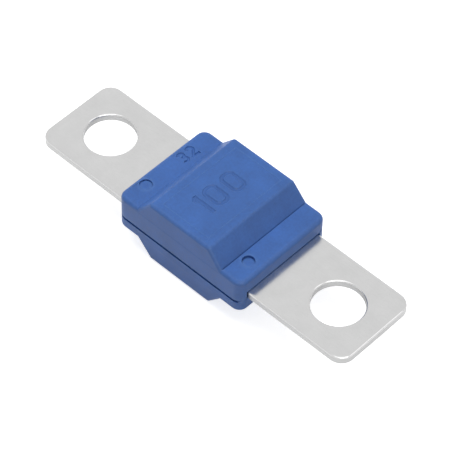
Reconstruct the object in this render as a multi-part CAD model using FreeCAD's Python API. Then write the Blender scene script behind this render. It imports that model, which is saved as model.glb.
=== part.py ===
"""Bolt-down strip fuse: one stamped strip held between two like housing halves.

Millimetres. X runs along the strip, Y across it and Z up. The origin is the
middle of the strip, halfway between its two stud holes. The part rests on the
flat face of its lower housing half.
"""
import FreeCAD
import Part
import math
import os

# Strip: both terminals and the fusible link, stamped from one sheet
strip_width = 9.9
strip_thickness = 0.82
terminal_corner_radius = 1.5
stud_hole_spacing = 30.0
stud_hole_diameter = 5.3
stud_hole_to_end = 5.0
stamped_edge_radius = 0.25

# Fusible link, the narrow neck in the middle of the strip
link_length = 5.2
link_width = 3.0
link_corner_radius = 0.9

# Pellet riveted through the link
pellet_diameter = 1.2
pellet_head_diameter = 2.0
pellet_head_height = 0.35

# Housing half, outside
side_wall = 0.93
strip_side_clearance = 0.12
flange_thickness = 1.72
flange_length = 2.66
corner_radius = 1.0
flange_edge_radius = 0.45
block_rise = 1.87
block_foot_length = 10.88
block_top_length = 7.7
block_side_inset = 0.02
block_side_draft = 0.08
block_edge_radius = 0.35

# Housing half, rims that lap past the strip's edges
lap_depth = 0.22
lap_clearance = 0.03
rim_chamfer = 0.12
mouth_chamfer = 0.14

# Housing half, space around the link
roof_wall = 1.0
slope_wall = 1.0
chamber_side_wall = 1.15
chamber_corner_radius = 0.4

# Joining pins and the holes that they pass through
pin_diameter = 1.2
pin_hole_clearance = 0.05
strip_hole_clearance = 0.15
pin_edge_distance = 1.75
left_pin_inset = 1.12
right_pin_inset = 1.63
left_pin_recess = 0.15
right_pin_recess = 0.28
pin_tip_chamfer = 0.12

# Places that follow from the sizes above
strip_length = stud_hole_spacing + 2 * stud_hole_to_end
strip_face = strip_thickness / 2
strip_edge = strip_width / 2
channel_edge = strip_edge + strip_side_clearance
housing_width = 2 * (channel_edge + side_wall)
housing_length = block_foot_length + 2 * flange_length
flange_face = strip_face + flange_thickness
block_face = flange_face + block_rise
rim_level = strip_face + lap_depth
pin_row = strip_edge - pin_edge_distance
left_pin_x = -housing_length / 2 + left_pin_inset
right_pin_x = housing_length / 2 - right_pin_inset
pins = [(left_pin_x, left_pin_recess), (right_pin_x, right_pin_recess)]
slope_run = (block_foot_length - block_top_length) / 2

# A cutting tool reaches this far past what it cuts
past = 1.0
near = 1e-4


def box(x_low, x_high, y_low, y_high, z_low, z_high):
    corner = FreeCAD.Vector(x_low, y_low, z_low)
    return Part.makeBox(x_high - x_low, y_high - y_low, z_high - z_low, corner)


def centred_box(length, width, z_low, z_high):
    return box(-length / 2, length / 2, -width / 2, width / 2, z_low, z_high)


def upright_cylinder(x, y, radius, z_low, z_high):
    return Part.makeCylinder(radius, z_high - z_low, FreeCAD.Vector(x, y, z_low))


def edges_where(shape, test):
    """The edges of a shape whose bounding box passes a test."""
    return [edge for edge in shape.Edges if test(edge.BoundBox)]


def upright(limits):
    return limits.ZLength > near and limits.XLength < near and limits.YLength < near


def level_at(limits, height):
    return limits.ZLength < near and abs(limits.ZMin - height) < near


def tapered_bar(half_length_low, half_length_high, half_width_low, half_width_high, z_low, z_high):
    """A bar along Y with flat sides that may all lean in towards its top."""
    bar = Part.makeWedge(-half_length_low, z_low, -half_width_low, -half_width_high, -half_length_high,
                         half_length_low, z_high, half_width_low, half_width_high, half_length_high)
    bar.rotate(FreeCAD.Vector(0, 0, 0), FreeCAD.Vector(1, 0, 0), 90)
    return bar


def half_length_at(height):
    """Half the block's length at a height, measured along its sloping ends."""
    return block_foot_length / 2 - slope_run * (height - flange_face) / block_rise


def flange_plate():
    """The flat base of a half, rounded at its corners and its outer edge."""
    plate = centred_box(housing_length, housing_width, -rim_level, flange_face)
    plate = plate.makeFillet(corner_radius, edges_where(plate, upright))
    rim = edges_where(plate, lambda limits: level_at(limits, flange_face))
    return plate.makeFillet(flange_edge_radius, rim)


def raised_block():
    """The block with sloping ends and drafted sides that stands on the flange plate."""
    foot = flange_face - flange_edge_radius
    half_width = housing_width / 2 - block_side_inset
    block = tapered_bar(half_length_at(foot), block_top_length / 2,
                        half_width, half_width - block_side_draft, foot, block_face)
    shown = edges_where(block, lambda limits: limits.ZMax > block_face - near)
    return block.makeFillet(block_edge_radius, shown)


def link_chamber():
    """The closed space around the link, one wall inside the block."""
    angle = math.atan2(block_rise, slope_run)
    back_off = slope_wall / math.sin(angle)
    top = block_face - roof_wall
    half_width = housing_width / 2 - chamber_side_wall
    half_low = half_length_at(flange_face) - back_off
    half_high = half_length_at(top) - back_off
    lower_part = centred_box(2 * half_low, 2 * half_width, strip_face - past, flange_face)
    upper_part = tapered_bar(half_low, half_high, half_width, half_width, flange_face, top)
    chamber = lower_part.fuse(upper_part).removeSplitter()
    corners = edges_where(chamber, lambda limits: limits.ZLength > near and limits.ZMax > strip_face)
    return chamber.makeFillet(chamber_corner_radius, corners)


def strip_channel():
    """The seat of the strip, and the step that the other half's rim fills."""
    reach = housing_length / 2 + past
    seat = box(-reach, reach, -channel_edge, channel_edge, -rim_level - past, strip_face)
    step_from = channel_edge - lap_clearance
    step = box(-reach, reach, step_from, housing_width / 2 + past, -rim_level - past, rim_level)
    return seat.fuse(step)


def outer_rim_edges(half):
    """Where the two halves meet on the outside, at the front and at the back."""
    def on_rim(limits):
        front = level_at(limits, -rim_level) and limits.YMin < -channel_edge - near
        back = level_at(limits, rim_level) and limits.YMax > channel_edge + near
        return front or back
    return edges_where(half, on_rim)


def mouth_edges(half):
    """Where the strip leaves the housing, above the strip."""
    def on_mouth(limits):
        across = limits.XLength < near and limits.YLength > strip_width / 2
        return across and level_at(limits, strip_face) and abs(limits.XMin) > housing_length / 2 - near
    return edges_where(half, on_mouth)


def joining_pin(x, recess):
    """A pin that reaches through the strip into the other half."""
    tip = -flange_face + recess
    pin = upright_cylinder(x, pin_row, pin_diameter / 2, tip, flange_face - roof_wall / 2)
    end = edges_where(pin, lambda limits: level_at(limits, tip))
    return pin.makeChamfer(pin_tip_chamfer, end)


def housing_half():
    """One moulded half, as it lies above the strip. Both halves are alike."""
    half = flange_plate().fuse(raised_block())
    half = half.cut(strip_channel())
    half = half.makeChamfer(rim_chamfer, outer_rim_edges(half))
    half = half.makeChamfer(mouth_chamfer, mouth_edges(half))
    half = half.cut(link_chamber())
    hole_radius = pin_diameter / 2 + pin_hole_clearance
    for x, recess in pins:
        half = half.cut(upright_cylinder(x, -pin_row, hole_radius, 0, flange_face + past))
        half = half.fuse(joining_pin(x, recess))
    return half.removeSplitter()


def fuse_strip():
    """Terminals, link and holes, with the rounded side of the stamping up."""
    strip = centred_box(strip_length, strip_width, -strip_face, strip_face)
    strip = strip.makeFillet(terminal_corner_radius, edges_where(strip, upright))
    for side in (-1, 1):
        x = side * stud_hole_spacing / 2
        strip = strip.cut(upright_cylinder(x, 0, stud_hole_diameter / 2, -past, past))
        strip = strip.cut(link_notch(side))
    strip = strip.makeFillet(stamped_edge_radius, edges_where(strip, on_terminal_face))
    locating_radius = pin_diameter / 2 + strip_hole_clearance
    for x, recess in pins:
        for y in (-pin_row, pin_row):
            strip = strip.cut(upright_cylinder(x, y, locating_radius, -past, past))
    return strip.cut(upright_cylinder(0, 0, pellet_diameter / 2, -past, past))


def on_terminal_face(limits):
    """The upper edges of the two terminals and of their stud holes."""
    return level_at(limits, strip_face) and abs(limits.Center.x) > link_length / 2 + near


def link_notch(side):
    """The window beside the link, open at the strip's long edge."""
    low, high = sorted((side * link_width / 2, side * (strip_edge + past)))
    notch = box(-link_length / 2, link_length / 2, low, high, -past, past)
    inner = side * link_width / 2

    def beside_link(limits):
        return upright(limits) and abs(limits.YMin - inner) < near
    return notch.makeFillet(link_corner_radius, edges_where(notch, beside_link))


def link_pellet():
    """A rivet-shaped pellet: a shank in the link and a shallow dome each side."""
    shank = upright_cylinder(0, 0, pellet_diameter / 2, -strip_face, strip_face)
    radius = pellet_head_diameter / 2
    dome_radius = (radius ** 2 + pellet_head_height ** 2) / (2 * pellet_head_height)
    below = strip_face + pellet_head_height - dome_radius
    ball = Part.makeSphere(dome_radius, FreeCAD.Vector(0, 0, below))
    head = ball.common(centred_box(pellet_head_diameter + past, pellet_head_diameter + past,
                                   strip_face, strip_face + pellet_head_height + past))
    foot = head.mirror(FreeCAD.Vector(0, 0, 0), FreeCAD.Vector(0, 0, 1))
    return shank.fuse([head, foot]).removeSplitter()


def turned_over(shape):
    """The same shape turned half a turn about the strip's length."""
    turned = shape.copy()
    turned.rotate(FreeCAD.Vector(0, 0, 0), FreeCAD.Vector(1, 0, 0), 180)
    return turned


upper_half = housing_half()
nodes = {
    "upper_housing_half": upper_half,
    "lower_housing_half": turned_over(upper_half),
    "fuse_strip": fuse_strip(),
    "link_pellet": link_pellet(),
}

os.makedirs("parts", exist_ok=True)
for name, shape in nodes.items():
    shape.exportStep(os.path.join("parts", name + ".step"))
    print(name, len(shape.Solids), "solid,", round(shape.Volume, 2), "cubic mm, valid", shape.isValid())
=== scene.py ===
"""Looks of a bolt-down strip fuse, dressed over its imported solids.

Lengths are metres in the part's own frame: X along the strip, Y across it and Z up,
with the origin in the middle of the strip. The sidebar panel lists the sizes and
colours that a user may change.
"""
import math

import bmesh
import bpy
from bpy.props import FloatProperty, FloatVectorProperty, PointerProperty
from mathutils import Matrix, Vector


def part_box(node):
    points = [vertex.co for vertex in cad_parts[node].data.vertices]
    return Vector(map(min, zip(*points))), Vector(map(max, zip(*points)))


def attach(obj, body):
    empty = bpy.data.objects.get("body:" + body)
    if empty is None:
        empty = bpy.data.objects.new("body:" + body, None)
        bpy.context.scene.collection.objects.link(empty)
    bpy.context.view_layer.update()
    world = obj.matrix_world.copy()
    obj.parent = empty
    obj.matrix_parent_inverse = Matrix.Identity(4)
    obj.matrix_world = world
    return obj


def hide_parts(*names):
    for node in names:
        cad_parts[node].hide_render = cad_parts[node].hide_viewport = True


bl_info = {
    "name": "Bolt-down strip fuse",
    "version": (1, 0, 0),
    "blender": (4, 5, 0),
    "location": "3D View > Sidebar > Strip Fuse",
    "description": "Moulded housing halves, a tinned strip and a plain studio for a strip fuse",
    "category": "Object",
}

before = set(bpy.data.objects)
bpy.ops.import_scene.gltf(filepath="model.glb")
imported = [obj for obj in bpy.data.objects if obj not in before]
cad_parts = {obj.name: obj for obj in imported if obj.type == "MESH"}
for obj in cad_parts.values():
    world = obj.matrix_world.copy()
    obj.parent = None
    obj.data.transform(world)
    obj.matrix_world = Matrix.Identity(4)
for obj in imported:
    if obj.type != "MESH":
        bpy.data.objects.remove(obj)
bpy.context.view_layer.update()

MM = 0.001
BODY = "root"

# Places that the boxes of the two housing halves give
BLOCK_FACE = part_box("upper_housing_half")[1].z
SIDE_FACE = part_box("upper_housing_half")[1].y
LOWEST_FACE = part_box("lower_housing_half")[0].z

# Places on the solids that no box gives
FLANGE_FACE = 2.13 * MM
SLOPE_FOOT = 5.44 * MM
PARTING_LEVEL = 0.69 * MM
PIN_PLACES = (-6.98 * MM, 6.47 * MM)
PIN_ROW = 3.2 * MM
PIN_RADIUS = 0.6 * MM
PIN_TIP_FROM = 1.6 * MM

# Fine forms that this script adds: pressed pin tips and the line of the mould's insert
PRESSED_PIN_RADIUS = 0.66 * MM
PIN_BLUNTING = 0.1
INSERT_HALF_LENGTH = 2.95 * MM
INSERT_HALF_WIDTH = 4.97 * MM
RIDGE_HEIGHT = 0.012 * MM

# Two faces are one flat face up to the first angle. Above the second their edge is sharp
# enough to be rounded, and up to the third they are shaded as one smooth rounding.
FLAT_ANGLE = math.radians(0.5)
SHARP_ANGLE = math.radians(30)
SMOOTH_ANGLE = math.radians(38)

# Points that are closer than this are one point
SAME_PLACE = 0.0001 * MM

# Studio: the floor touches the fine line under the fuse, and the camera stands a
# little off the line to the middle of the strip
FLOOR_LEVEL = LOWEST_FACE - RIDGE_HEIGHT
FLOOR_HALF_WIDTH = 1500 * MM
SIDE_SHIFT = 0.416 * MM
UP_SHIFT = -0.622 * MM
SENSOR_WIDTH_MM = 36


class HousingLook(bpy.types.PropertyGroup):
    """Sizes and colours of the moulded housing."""

    colour: FloatVectorProperty(
        name="Colour", description="Colour of the moulded plastic",
        subtype="COLOR", size=3, min=0, max=1, default=(0.038, 0.123, 0.392))
    # Paler colour of the edges: partly wear from handling, partly a painted highlight of light on their
    # rounding
    worn_colour: FloatVectorProperty(
        name="Worn colour", description="Colour of the edges where handling has paled them",
        subtype="COLOR", size=3, min=0, max=1, default=(0.085, 0.2, 0.47))
    roughness: FloatProperty(
        name="Roughness", description="How matt the moulded surface is",
        subtype="FACTOR", min=0, max=1, default=0.46)
    edge_radius: FloatProperty(
        name="Edge radius", description="Rounding of the edges that the mould leaves sharp",
        unit="LENGTH", subtype="DISTANCE", default=0.04 * MM)
    grain_size: FloatProperty(
        name="Grain size", description="Width of the fine dimples in the moulded surface",
        unit="LENGTH", subtype="DISTANCE", default=0.09 * MM)
    # Share of that paler colour on outer edges, as wear and as painted highlight
    wear: FloatProperty(
        name="Wear", description="How far handling has paled the outer edges",
        subtype="FACTOR", min=0, max=1, default=0.45)
    # The line round the block face is paled partly as a painted highlight of its fine ridge, partly as
    # wear
    line_wear: FloatProperty(
        name="Line wear", description="How pale the fine line round the block face is",
        subtype="FACTOR", min=0, max=1, default=0.25)
    crevice_shade: FloatProperty(
        name="Crevice shade", description="How dark grooves and inner corners are",
        subtype="FACTOR", min=0, max=1, default=0.32)
    number_shade: FloatProperty(
        name="Number shade", description="How dark the bottom of the engraved rating number is",
        subtype="FACTOR", min=0, max=1, default=0.16)
    number_depth: FloatProperty(
        name="Number depth", description="Depth of the rating number engraved on the block",
        unit="LENGTH", subtype="DISTANCE", default=0.08 * MM)
    small_number_depth: FloatProperty(
        name="Small number depth", description="Depth of the number engraved on the flange",
        unit="LENGTH", subtype="DISTANCE", default=0.11 * MM)


class StripLook(bpy.types.PropertyGroup):
    """Sizes and colours of the strip and its pellet."""

    colour: FloatVectorProperty(
        name="Colour", description="Colour of the tin plating",
        subtype="COLOR", size=3, min=0, max=1, default=(0.635, 0.635, 0.635))
    roughness: FloatProperty(
        name="Roughness", description="How matt the plating is",
        subtype="FACTOR", min=0, max=1, default=0.2)
    pellet_colour: FloatVectorProperty(
        name="Pellet colour", description="Colour of the cast tin pellet",
        subtype="COLOR", size=3, min=0, max=1, default=(0.48, 0.49, 0.5))


class StudioLook(bpy.types.PropertyGroup):
    """Camera, floor and lights."""

    azimuth: FloatProperty(
        name="Azimuth", description="Angle of the camera round the fuse, from the near side towards +X",
        unit="ROTATION", subtype="ANGLE", default=math.radians(42.516))
    elevation: FloatProperty(
        name="Elevation", description="Angle of the camera above the strip",
        unit="ROTATION", subtype="ANGLE", default=math.radians(50.308))
    roll: FloatProperty(
        name="Roll", description="Turn of the camera about its own axis",
        unit="ROTATION", subtype="ANGLE", default=math.radians(1.335))
    distance: FloatProperty(
        name="Distance", description="Distance of the camera from the middle of the strip",
        unit="LENGTH", subtype="DISTANCE", default=265.793 * MM)
    lens: FloatProperty(
        name="Focal length", description="Focal length of the lens, in millimetres",
        default=221.49)
    floor_colour: FloatVectorProperty(
        name="Floor colour", description="Colour of the floor",
        subtype="COLOR", size=3, min=0, max=1, default=(0.8, 0.8, 0.8))
    seen_glow: FloatProperty(
        name="Floor glow", description="Glow that lifts the floor to white in the picture",
        min=0, default=0.75)
    reflected_glow: FloatProperty(
        name="Reflected glow", description="Glow of the floor where gloss or glass shows it",
        min=0, default=0.5)
    ambient: FloatProperty(
        name="Ambient light", description="Brightness of the light from all round",
        min=0, default=0.29)


class Value:
    """One output of a node, so that shader maths reads as an expression."""

    def __init__(self, shader, output):
        self.shader = shader
        self.output = output

    def maths(self, operation, first, second):
        return self.shader.node("ShaderNodeMath", {"operation": operation}, {0: first, 1: second})

    def __add__(self, other):
        return self.maths("ADD", self, other)

    def __radd__(self, other):
        return self.maths("ADD", other, self)

    def __sub__(self, other):
        return self.maths("SUBTRACT", self, other)

    def __rsub__(self, other):
        return self.maths("SUBTRACT", other, self)

    def __mul__(self, other):
        return self.maths("MULTIPLY", self, other)

    def __rmul__(self, other):
        return self.maths("MULTIPLY", other, self)

    def __abs__(self):
        return self.maths("ABSOLUTE", self, 0.0)

    def or_more(self, other):
        return self.maths("MAXIMUM", self, other)


class Shader:
    """The nodes of a material or of the world."""

    def __init__(self, owner):
        owner.use_nodes = True
        self.tree = owner.node_tree
        self.tree.nodes.clear()

    def node(self, kind, settings=None, sockets=None, output=0):
        """Add a node: its settings first, then the values or links of its sockets."""
        made = self.tree.nodes.new(kind)
        for name, value in (settings or {}).items():
            if name == "stops":
                set_stops(made.color_ramp, value)
            else:
                setattr(made, name, value)
        for name, value in (sockets or {}).items():
            if isinstance(value, Value):
                self.tree.links.new(value.output, made.inputs[name])
            else:
                made.inputs[name].default_value = value
        return Value(self, made.outputs[output]) if made.outputs else None

    def ramp(self, value, *stops):
        """A level for each value, from stops of (place, level)."""
        return self.node("ShaderNodeValToRGB", {"stops": stops}, {"Fac": value})

    def blend(self, factor, first, second):
        """A mix of two colours."""
        sockets = {0: factor, 6: first, 7: second}
        return self.node("ShaderNodeMix", {"data_type": "RGBA"}, sockets, output=2)

    def scaled(self, place, factors):
        return self.node("ShaderNodeVectorMath", {"operation": "MULTIPLY"}, {0: place, 1: factors})

    def noise(self, place, size, detail=2.0, roughness=0.5):
        """Smooth noise from 0 to 1, whose blobs are about size metres wide."""
        sockets = {"Vector": place, "Scale": 1 / size, "Detail": detail, "Roughness": roughness}
        return self.node("ShaderNodeTexNoise", {}, sockets)

    def bump(self, height, depth, **normal):
        """A normal bent by a height from 0 to 1 that stands for depth metres."""
        return self.node("ShaderNodeBump", {}, {"Height": height, "Distance": depth, **normal})

    def place(self):
        """The place on the object, in metres."""
        return self.node("ShaderNodeTexCoord", output="Object")

    def part(self, vector, axis):
        """One of the three parts of a vector."""
        return self.node("ShaderNodeSeparateXYZ", {}, {0: vector}, output=axis)

    def facing(self, axis):
        """How far the surface faces along an axis, from -1 to 1."""
        return self.part(self.node("ShaderNodeTexCoord", output="Normal"), axis)

    def seen_directly(self):
        """1 for what the camera, gloss or glass shows, and 0 for light on diffuse surfaces."""
        path = "ShaderNodeLightPath"
        gloss = self.node(path, output="Is Glossy Ray")
        shown = self.node(path, output="Is Camera Ray").or_more(gloss)
        return shown.or_more(self.node(path, output="Is Transmission Ray"))

    def openness(self, distance, inside=False):
        """Near 1 on open faces, and less in crevices, or with inside on outer edges."""
        settings = {"samples": 8, "inside": inside, "only_local": inside}
        return self.node("ShaderNodeAmbientOcclusion", settings, {"Distance": distance}, output="AO")


def set_stops(ramp, stops):
    while len(ramp.elements) < len(stops):
        ramp.elements.new(1.0)
    for element, (place, level) in zip(ramp.elements, stops):
        element.position = place
        element.color = grey(level)


def solid(colour):
    """A colour with its alpha."""
    return (*colour, 1)


def grey(level):
    """A neutral colour with its alpha."""
    return solid((level, level, level))


def scaled_colour(colour, factor):
    return solid([min(1, level * factor) for level in colour])


def moulded_plastic(look):
    """Satin moulded plastic: fine dimples, faint flow marks, outer edges and the insert's line paled
    partly by wear and partly as a painted highlight, and painted shade in crevices and in the engraved
    number.
    """
    material = bpy.data.materials.new("moulded_housing_plastic")
    shader = Shader(material)
    place = shader.place()
    flow = shader.noise(place, 2.6 * MM, detail=3)
    speckle = shader.noise(place, 0.26 * MM, detail=3, roughness=0.65)
    mottling = shader.ramp(flow * 0.55 + speckle * 0.45, (0.32, 0.0), (0.68, 1.0))
    body = shader.blend(mottling, scaled_colour(look.colour, 0.85), scaled_colour(look.colour, 1.17))
    dimples = shader.noise(place, look.grain_size, detail=3, roughness=0.65)
    # Painted shade: darker in grooves, gaps and inner corners that see little of their surroundings
    crevice = shader.ramp(shader.openness(0.2 * MM), (0.6, 1.0), (0.92, 0.0)) * look.crevice_shade
    scuffs = shader.ramp(shader.noise(place, 0.4 * MM, detail=3), (0.38, 0.3), (0.62, 1.0))
    # Outer edges paled: partly wear, partly a painted highlight where their rounding catches the light
    edge = shader.ramp(shader.openness(0.45 * MM, inside=True), (0.7, 1.0), (0.96, 0.0)) * scuffs
    off_line = off_insert(shader, place)
    # Painted highlight along the insert's fine ridge, with some wear
    line = shader.ramp(abs(off_line) * (1 / (0.2 * MM)), (0.2, 1.0), (0.6, 0.0)) * scuffs
    # Painted shade on the bottom of the engraved number, below the block face and inside the insert's
    # line
    below_face = BLOCK_FACE - abs(shader.part(place, 2))
    sunk = shader.ramp(below_face * (1 / (0.1 * MM)), (0.3, 0.0), (0.8, 1.0))
    inside = shader.ramp(off_line * (-1 / (1 * MM)), (0.0, 0.0), (0.1, 1.0))
    dark = crevice.or_more(sunk * inside * look.number_shade)
    body = shader.blend(dark, body, scaled_colour(look.colour, 0.35))
    # Paler colour on edges and on the insert's line: wear with a painted highlight
    pale = (edge * look.wear).or_more(line * look.line_wear)
    body = shader.blend(pale, body, solid(look.worn_colour))
    rough = shader.ramp(speckle, (0.3, look.roughness - 0.05), (0.7, look.roughness + 0.06))
    normal = shader.bump(dimples, 0.006 * MM)
    sockets = {"Base Color": body, "Roughness": rough, "Normal": normal}
    surface = shader.node("ShaderNodeBsdfPrincipled", {}, sockets)
    shader.node("ShaderNodeOutputMaterial", {}, {"Surface": surface})
    return material


def off_insert(shader, place):
    """Metres outside the line of the mould's insert on a block face, less than 0 inside it."""
    off_long = abs(shader.part(place, 0)) - INSERT_HALF_LENGTH
    off_wide = abs(shader.part(place, 1)) - INSERT_HALF_WIDTH
    return off_long.or_more(off_wide)


def tinned_metal(look):
    """Matt tin plating with faint rolling lines and a rougher sheared edge, whose darker colour is
    partly painted shade.
    """
    material = bpy.data.materials.new("tin_plated_strip")
    shader = Shader(material)
    place = shader.place()
    rolling = shader.noise(shader.scaled(place, (0.06, 1, 1)), 0.07 * MM, detail=3)
    shearing = shader.noise(shader.scaled(place, (1, 1, 0.08)), 0.06 * MM, detail=3)
    clouds = shader.noise(place, 2.8 * MM, detail=4, roughness=0.6)
    level = shader.facing(2)
    top = shader.ramp(level * level, (0.02, 0.0), (0.15, 1.0))
    tint = shader.ramp(clouds * 0.7 + rolling * 0.3, (0.3, 0.0), (0.7, 1.0))
    plating = shader.blend(tint, scaled_colour(look.colour, 0.95), scaled_colour(look.colour, 1.045))
    # The sides of the strip are darker than its faces: partly the rougher sheared edge, partly painted
    # shade
    colour = shader.blend(top, scaled_colour(look.colour, 0.8), plating)
    rough = shader.ramp(clouds, (0.3, look.roughness - 0.03), (0.7, look.roughness + 0.05))
    rough = rough + (1 - top) * 0.12
    height = shader.blend(top, shearing, rolling)
    normal = shader.bump(height, 0.0016 * MM)
    sockets = {"Base Color": colour, "Metallic": 1.0, "Roughness": rough, "Normal": normal}
    surface = shader.node("ShaderNodeBsdfPrincipled", {}, sockets)
    shader.node("ShaderNodeOutputMaterial", {}, {"Surface": surface})
    return material


def cast_tin(look):
    """Dull cast tin with a wrinkled skin."""
    material = bpy.data.materials.new("cast_tin_pellet")
    shader = Shader(material)
    place = shader.place()
    wrinkles = shader.noise(place, 0.12 * MM, detail=4, roughness=0.6)
    shade = shader.ramp(wrinkles, (0.35, 0.0), (0.65, 1.0))
    dark = scaled_colour(look.pellet_colour, 0.85)
    pale = scaled_colour(look.pellet_colour, 1.1)
    colour = shader.blend(shade, dark, pale)
    rough = shader.ramp(wrinkles, (0.3, 0.38), (0.7, 0.5))
    sockets = {"Base Color": colour, "Metallic": 1.0, "Roughness": rough,
               "Normal": shader.bump(wrinkles, 0.01 * MM)}
    surface = shader.node("ShaderNodeBsdfPrincipled", {}, sockets)
    shader.node("ShaderNodeOutputMaterial", {}, {"Surface": surface})
    return material


def pale_floor(look):
    """Matt floor that looks white and keeps a soft shadow."""
    material = bpy.data.materials.new("studio_floor")
    shader = Shader(material)
    matt = shader.node("ShaderNodeBsdfDiffuse", {}, {"Color": solid(look.floor_colour)})
    in_view = shader.node("ShaderNodeLightPath", output="Is Camera Ray")
    glow_colour = shader.blend(in_view, grey(look.reflected_glow), grey(look.seen_glow))
    glow = shader.node("ShaderNodeEmission", {}, {"Color": glow_colour, "Strength": 1.0})
    lit = shader.node("ShaderNodeAddShader", {}, {0: matt, 1: glow})
    surface = shader.node("ShaderNodeMixShader", {}, {0: shader.seen_directly(), 1: matt, 2: lit})
    shader.node("ShaderNodeOutputMaterial", {}, {"Surface": surface})
    return material


def white_world(look):
    """Even light from all round, white where it is seen directly."""
    world = bpy.data.worlds.new("studio_world")
    shader = Shader(world)
    light = shader.node("ShaderNodeBackground", {}, {"Color": grey(1), "Strength": look.ambient})
    white = shader.node("ShaderNodeBackground", {}, {"Color": grey(1), "Strength": 1.0})
    surface = shader.node("ShaderNodeMixShader", {}, {0: shader.seen_directly(), 1: light, 2: white})
    shader.node("ShaderNodeOutputWorld", {}, {"Surface": surface})
    return world


def dress(piece, material):
    """Give a piece one material."""
    piece.data.materials.clear()
    piece.data.materials.append(material)


def new_piece(name, mesh):
    piece = bpy.data.objects.new(name, mesh)
    bpy.context.scene.collection.objects.link(piece)
    return piece


def softened_mesh(node, name, radius):
    """A copy of a solid's mesh whose sharp edges have a small rounding."""
    form = bmesh.new()
    form.from_mesh(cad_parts[node].data)
    bmesh.ops.remove_doubles(form, verts=form.verts, dist=SAME_PLACE)
    bmesh.ops.dissolve_limit(form, angle_limit=FLAT_ANGLE, verts=form.verts, edges=form.edges)
    spread_pin_tips(form)
    sharp = [edge for edge in form.edges if edge.calc_face_angle(0) > SHARP_ANGLE]
    bmesh.ops.bevel(form, geom=sharp, offset=radius, offset_type="OFFSET", segments=2,
                    profile=0.5, affect="EDGES", clamp_overlap=False)
    mesh = bpy.data.meshes.new(name)
    form.to_mesh(mesh)
    form.free()
    return mesh


def spread_pin_tips(form):
    """Widen the ends of the joining pins to their holes and blunt them, as if pressed home."""
    on_pin = PIN_RADIUS + 0.01 * MM
    for vert in form.verts:
        for x in PIN_PLACES:
            for y in (-PIN_ROW, PIN_ROW):
                off_axis = Vector((vert.co.x - x, vert.co.y - y))
                if abs(vert.co.z) > PIN_TIP_FROM and off_axis.length < on_pin:
                    radius = PRESSED_PIN_RADIUS - PIN_BLUNTING * (PIN_RADIUS - off_axis.length)
                    off_axis *= radius / off_axis.length
                    vert.co.x = x + off_axis.x
                    vert.co.y = y + off_axis.y


def arc(centre, radius, start, end):
    """Points along an arc, with its angles in degrees and one point every 15 or fewer."""
    steps = math.ceil(abs(end - start) / 15)
    angles = [math.radians(start + (end - start) * step / steps) for step in range(steps + 1)]
    return [(centre[0] + radius * math.cos(a), centre[1] + radius * math.sin(a)) for a in angles]


# Each digit is a list of pairs of path and whether it is closed. The paths follow the
# middles of its strokes, up to half_width and half_height from the digit's centre.
def zero_strokes(half_width, half_height, stroke):
    radius = 0.75 * half_width
    right = half_width - radius
    high = half_height - radius
    path = arc((right, high), radius, 0, 90) + arc((-right, high), radius, 90, 180)
    path += arc((-right, -high), radius, 180, 270) + arc((right, -high), radius, 270, 360)
    return [(path, True)]


def one_strokes(half_width, half_height, stroke):
    stem = half_width
    top = half_height + stroke / 2
    flag = [(stem - 1.2 * stroke, top - 1.2 * stroke), (stem, top - stroke / 2)]
    return [([(stem, top), (stem, -top)], False), (flag, False)]


def two_strokes(half_width, half_height, stroke):
    bowl = arc((0, half_height - half_width), half_width, 160, -40)
    foot = (-half_width, -half_height)
    base = [(-half_width - stroke / 2, -half_height), (half_width + stroke / 2, -half_height)]
    return [(bowl + [foot], False), (base, False)]


def three_strokes(half_width, half_height, stroke):
    radius = half_height / 2
    middle = (-radius * 0.4, 0)
    upper = arc((0, radius), radius, 160, -90) + [middle]
    lower = arc((0, -radius), radius, -160, 90) + [middle]
    return [(upper, False), (lower, False)]


DIGITS = {"0": zero_strokes, "1": one_strokes, "2": two_strokes, "3": three_strokes}


def groove(form, path, closed, levels):
    """Add a closed form that follows a path, from two pairs of level and half width, lowest first."""
    points = [Vector(point) for point in path]
    if closed:
        points = points[:-1]
    last = len(points) - 1
    rings = []
    for index, point in enumerate(points):
        before = points[index - 1] if closed or index > 0 else None
        after = points[(index + 1) % len(points)] if closed or index < last else None
        arriving = (point - before).normalized() if before else (after - point).normalized()
        leaving = (after - point).normalized() if after else arriving
        along = (arriving + leaving).normalized()
        side = Vector((-along.y, along.x)) / along.dot(leaving)
        ring = []
        for level, half in levels:
            for sign in (-1, 1):
                place = point + side * sign * half
                ring.append(form.verts.new((place.x, place.y, level)))
        rings.append(ring)
    pairs = list(zip(rings, rings[1:]))
    if closed:
        pairs.append((rings[-1], rings[0]))
    for first, second in pairs:
        for a, b in ((0, 1), (1, 3), (3, 2), (2, 0)):
            form.faces.new((first[a], first[b], second[b], second[a]))
    if not closed:
        form.faces.new([rings[0][corner] for corner in (0, 2, 3, 1)])
        form.faces.new([rings[-1][corner] for corner in (0, 1, 3, 2)])


def grooves(name, paths, *levels):
    """A piece shaped like grooves, from pairs of path and whether it is closed.

    Its flat bottom and top are two pairs of level and half width, in any order.
    """
    form = bmesh.new()
    for path, closed in paths:
        groove(form, path, closed, sorted(levels))
    bmesh.ops.recalc_face_normals(form, faces=form.faces)
    mesh = bpy.data.meshes.new(name)
    form.to_mesh(mesh)
    form.free()
    return new_piece(name, mesh)


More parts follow.
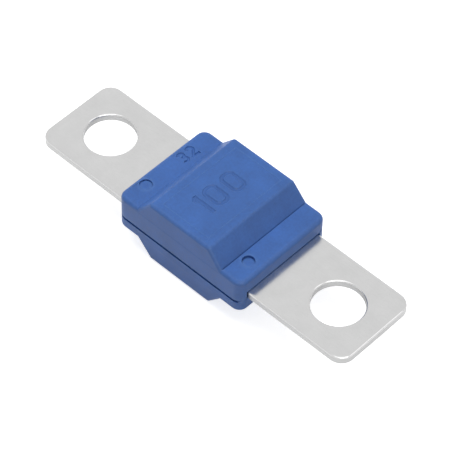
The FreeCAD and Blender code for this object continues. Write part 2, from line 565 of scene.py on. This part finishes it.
def number_cutters(number, centres, middle, size, stroke, wall, face, depth):
    """Cutters for a number that reads towards +Y with its top towards -X.

    The walls of its strokes slope in by the width wall on their way down. The first
    strokes of all digits make one cutter and the second strokes another, a little
    shallower, so that no two faces of the cuts lie in one plane.
    """
    half_width = (size[0] - stroke) / 2
    half_height = (size[1] - stroke) / 2
    layers = ([], [])
    for digit, centre in zip(number, centres):
        strokes = DIGITS[digit](half_width, half_height, stroke)
        for layer, (path, closed) in zip(layers, strokes):
            layer.append(([(middle - up, centre + along) for along, up in path], closed))
    draft = wall / depth
    above = 0.1 * MM
    cutters = []
    for index, layer in enumerate(layers):
        deep = depth * (1 - 0.06 * index)
        bottom = (face - deep, stroke / 2 - deep * draft)
        top = (face + above, stroke / 2 + above * draft)
        name = "number_" + number + "_" + str(index)
        cutters.append((grooves(name, layer, bottom, top), "DIFFERENCE"))
    return cutters


def parting_cutter(side):
    """Cutter for the dark gap where the rims of the two halves meet, on one side."""
    level = side * PARTING_LEVEL
    middle = side * SIDE_FACE
    past_ends = 9 * MM
    depth = 0.25 * MM
    half_gap = 0.11 * MM
    path = [(-past_ends, middle), (past_ends, middle)]
    return grooves("parting_gap", [(path, False)], (level - half_gap, depth), (level + half_gap, depth))


def foot_cutter(side):
    """Cutter for the fine groove that the mould leaves at the foot of the right slope."""
    middle = SLOPE_FOOT + 0.04 * MM
    reach = SIDE_FACE - 0.35 * MM
    bottom = (side * (FLANGE_FACE - 0.07 * MM), 0.03 * MM)
    mouth = (side * (FLANGE_FACE + 0.05 * MM), 0.07 * MM)
    return grooves("foot_groove", [([(middle, -reach), (middle, reach)], False)], bottom, mouth)


def insert_ridge(side):
    """The fine line that the edge of the mould's insert leaves on a block face."""
    corner = 0.12 * MM
    path = []
    for x, y, start in ((1, 1, 0), (-1, 1, 90), (-1, -1, 180), (1, -1, 270)):
        centre = (x * (INSERT_HALF_LENGTH - corner), y * (INSERT_HALF_WIDTH - corner))
        path += arc(centre, corner, start, start + 90)
    path.append(path[0])
    foot = (side * (BLOCK_FACE - 0.05 * MM), 0.1 * MM)
    crest = (side * (BLOCK_FACE + RIDGE_HEIGHT), 0.045 * MM)
    return grooves("insert_ridge", [(path, True)], foot, crest)


def reshape(piece, changes):
    """Cut pieces out of a piece or join them to it, and drop them."""
    for tool, operation in changes:
        change = piece.modifiers.new(tool.name, "BOOLEAN")
        change.operation = operation
        change.solver = "EXACT"
        change.object = tool
    evaluated = piece.evaluated_get(bpy.context.evaluated_depsgraph_get())
    mesh = bpy.data.meshes.new_from_object(evaluated)
    piece.modifiers.clear()
    piece.data = mesh
    for tool, operation in changes:
        bpy.data.objects.remove(tool)


def smooth_fan(corner, limit):
    """The faces round a corner's vertex that the corner's face meets smoothly."""
    fan = {corner.face}
    waiting = [corner.face]
    while waiting:
        face = waiting.pop()
        for edge in corner.vert.link_edges:
            if face in edge.link_faces and edge.calc_face_angle(math.pi) < limit:
                fresh = [other for other in edge.link_faces if other not in fan]
                fan.update(fresh)
                waiting.extend(fresh)
    return fan


def shade_softly(piece):
    """Smooth shading over roundings, where the largest faces count most and so stay flat."""
    form = bmesh.new()
    form.from_mesh(piece.data)
    normals = []
    for face in form.faces:
        for corner in face.loops:
            normal = Vector()
            for other in smooth_fan(corner, SMOOTH_ANGLE):
                normal += other.normal * (other.calc_area() / MM ** 2) ** 2
            normals.append(normal.normalized())
    form.free()
    piece.data.shade_smooth()
    piece.data.normals_split_custom_set(normals)


def soft_box(name, direction, distance, width, brightness, shown=False):
    """A square lamp that faces the fuse from a distance in a direction.

    It lights a surface to the share brightness of full light, or with shown it lights
    nothing and only shows in reflections.
    """
    lamp = bpy.data.lights.new(name, "AREA")
    lamp.shape = "SQUARE"
    lamp.size = width
    lamp.energy = brightness * (math.pi * distance) ** 2
    holder = bpy.data.objects.new(name, lamp)
    towards = Vector(direction).normalized()
    holder.location = towards * distance
    holder.rotation_euler = towards.to_track_quat("Z", "Y").to_euler()
    holder.visible_glossy = shown
    holder.visible_diffuse = not shown
    bpy.context.scene.collection.objects.link(holder)


def camera_pose(look):
    """The camera's place and turn, from its angles round the fuse."""
    across = Vector((math.cos(look.azimuth), math.sin(look.azimuth), 0))
    flat = Vector((math.sin(look.azimuth), -math.cos(look.azimuth), 0))
    back = flat * math.cos(look.elevation) + Vector((0, 0, math.sin(look.elevation)))
    turn = Matrix.Rotation(look.roll, 3, back)
    across = turn @ across
    up = back.cross(across)
    pose = Matrix((across, up, back)).transposed().to_4x4()
    pose.translation = back * look.distance + across * SIDE_SHIFT + up * UP_SHIFT
    return pose


def finish_half(context, node, name, side, numbers=()):
    """Round, cut and dress the housing half that lies on one side of the strip."""
    look = context.scene.strip_fuse_housing
    piece = new_piece(name, softened_mesh(node, name, look.edge_radius))
    reshape(piece, [
        (parting_cutter(-1), "DIFFERENCE"), (parting_cutter(1), "DIFFERENCE"),
        (foot_cutter(side), "DIFFERENCE"), (insert_ridge(side), "UNION"), *numbers])
    dress(piece, moulded_plastic(look))
    shade_softly(piece)
    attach(piece, BODY)
    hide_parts(node)


class FUSE_OT_upper_half(bpy.types.Operator):
    """Finish the upper housing half and engrave its rating numbers"""

    bl_idname = "strip_fuse.upper_half"
    bl_label = "Upper housing half"

    def execute(self, context):
        look = context.scene.strip_fuse_housing
        block_number = number_cutters(
            "100", centres=[-2.93 * MM, -0.66 * MM, 1.7 * MM], middle=-0.22 * MM,
            size=(1.84 * MM, 2.75 * MM), stroke=0.45 * MM, wall=0.09 * MM,
            face=BLOCK_FACE, depth=look.number_depth)
        flange_number = number_cutters(
            "32", centres=[1.72 * MM, 2.88 * MM], middle=-6.8 * MM,
            size=(1.04 * MM, 1.54 * MM), stroke=0.32 * MM, wall=0.07 * MM,
            face=FLANGE_FACE, depth=look.small_number_depth)
        numbers = block_number + flange_number
        finish_half(context, "upper_housing_half", "engraved_upper_half", 1, numbers)
        return {"FINISHED"}


class FUSE_OT_lower_half(bpy.types.Operator):
    """Finish the lower housing half"""

    bl_idname = "strip_fuse.lower_half"
    bl_label = "Lower housing half"

    def execute(self, context):
        finish_half(context, "lower_housing_half", "finished_lower_half", -1)
        return {"FINISHED"}


class FUSE_OT_strip(bpy.types.Operator):
    """Plate the strip"""

    bl_idname = "strip_fuse.strip"
    bl_label = "Strip"

    def execute(self, context):
        dress(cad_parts["fuse_strip"], tinned_metal(context.scene.strip_fuse_strip))
        return {"FINISHED"}


class FUSE_OT_pellet(bpy.types.Operator):
    """Cast the pellet in the link"""

    bl_idname = "strip_fuse.pellet"
    bl_label = "Link pellet"

    def execute(self, context):
        dress(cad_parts["link_pellet"], cast_tin(context.scene.strip_fuse_strip))
        return {"FINISHED"}


class FUSE_OT_studio(bpy.types.Operator):
    """Set up the floor, the lights and the camera"""

    bl_idname = "strip_fuse.studio"
    bl_label = "Studio"

    def execute(self, context):
        look = context.scene.strip_fuse_studio
        half = FLOOR_HALF_WIDTH
        form = bmesh.new()
        corners = ((-half, -half), (half, -half), (half, half), (-half, half))
        form.faces.new([form.verts.new((x, y, FLOOR_LEVEL)) for x, y in corners])
        mesh = bpy.data.meshes.new("studio_floor")
        form.to_mesh(mesh)
        form.free()
        floor = new_piece("studio_floor", mesh)
        dress(floor, pale_floor(look))
        context.scene.world = white_world(look)
        soft_box("key_light", (-0.42, 0.12, 0.9), distance=0.3, width=0.22, brightness=0.49)
        soft_box("top_light", (0.18, 0.2, 0.96), distance=0.7, width=0.45, brightness=0.3)
        soft_box("front_light", (-0.35, -0.85, 0.4), distance=0.7, width=0.45, brightness=0.03)
        for name, direction, width, brightness in (
                ("edge_light", (0.66, -0.42, 0.62), 0.6, 0.4),
                ("end_light", (0.69, 0.38, 0.59), 0.3, 0.045),
                ("corner_light", (0.12, -0.68, 0.72), 0.3, 0.045)):
            soft_box(name, direction, distance=0.7, width=width, brightness=brightness, shown=True)
        lens = bpy.data.cameras.new("camera")
        lens.sensor_width = SENSOR_WIDTH_MM
        lens.lens = look.lens
        lens.clip_start = 0.01
        camera = bpy.data.objects.new("camera", lens)
        camera.matrix_world = camera_pose(look)
        context.scene.collection.objects.link(camera)
        context.scene.camera = camera
        context.scene.view_settings.view_transform = "Standard"
        return {"FINISHED"}


LOOKS = {
    "strip_fuse_housing": HousingLook,
    "strip_fuse_strip": StripLook,
    "strip_fuse_studio": StudioLook,
}
OPERATORS = (FUSE_OT_upper_half, FUSE_OT_lower_half, FUSE_OT_strip, FUSE_OT_pellet, FUSE_OT_studio)


class FUSE_PT_sidebar(bpy.types.Panel):
    """Sizes and colours of the fuse, and the steps that build it"""

    bl_idname = "FUSE_PT_sidebar"
    bl_label = "Strip Fuse"
    bl_space_type = "VIEW_3D"
    bl_region_type = "UI"
    bl_category = "Strip Fuse"

    def draw(self, context):
        for name in LOOKS:
            box = self.layout.box()
            look = getattr(context.scene, name)
            for setting in look.__annotations__:
                box.prop(look, setting)
        for operator in OPERATORS:
            self.layout.operator(operator.bl_idname)


def register():
    for kind in (*LOOKS.values(), *OPERATORS, FUSE_PT_sidebar):
        bpy.utils.register_class(kind)
    for name, kind in LOOKS.items():
        setattr(bpy.types.Scene, name, PointerProperty(type=kind))


def unregister():
    for name in LOOKS:
        delattr(bpy.types.Scene, name)
    for kind in reversed((*LOOKS.values(), *OPERATORS, FUSE_PT_sidebar)):
        bpy.utils.unregister_class(kind)


def main():
    register()
    bpy.ops.strip_fuse.upper_half()
    bpy.ops.strip_fuse.lower_half()
    bpy.ops.strip_fuse.strip()
    bpy.ops.strip_fuse.pellet()
    bpy.ops.strip_fuse.studio()


if __name__ == "__main__":
    main()
